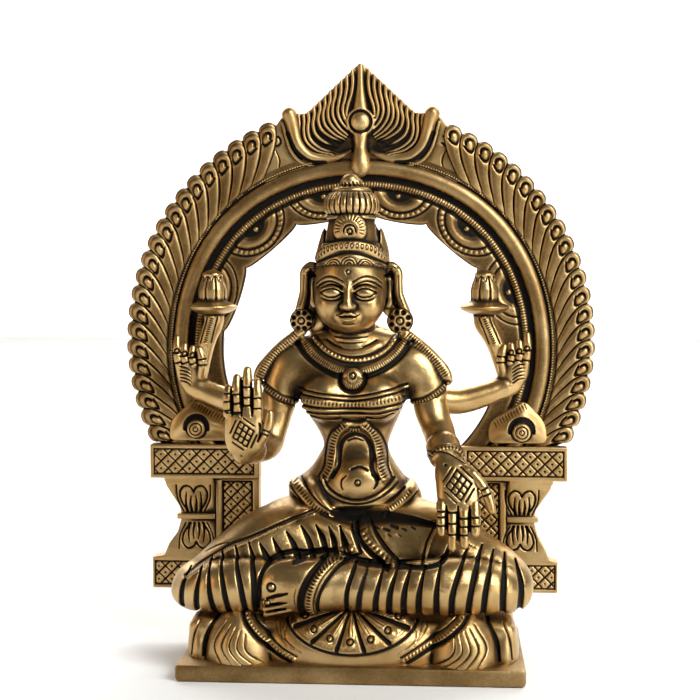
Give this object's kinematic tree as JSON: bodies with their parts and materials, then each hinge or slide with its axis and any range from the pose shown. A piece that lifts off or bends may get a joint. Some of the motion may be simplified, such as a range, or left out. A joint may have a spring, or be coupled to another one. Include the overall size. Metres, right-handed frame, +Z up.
{
  "type": "lakshmi idol",
  "caption": "Cast brass idol of a seated four-armed goddess before a leafed arch frame on a draped pedestal.",
  "frame": {"origin": "middle of the statue's footprint, on the underside of the plinth", "axes": "+Z up, the goddess faces -Y, +X to the viewer's right"},
  "size_m": [0.1988, 0.076, 0.246],
  "materials": {
    "figure_brass": "hand-polished high parts with a near-black patina in the recesses",
    "pedestal_brass": "satin brass with brown patina in the engraved lines",
    "frame_brass": "satin brass with brown patina between the carved leaves"
  },
  "bodies": {
    "root": {"goddess_figure": "figure_brass", "pedestal": "pedestal_brass", "prabhavali_frame": "frame_brass"}
  },
  "joints": []
}
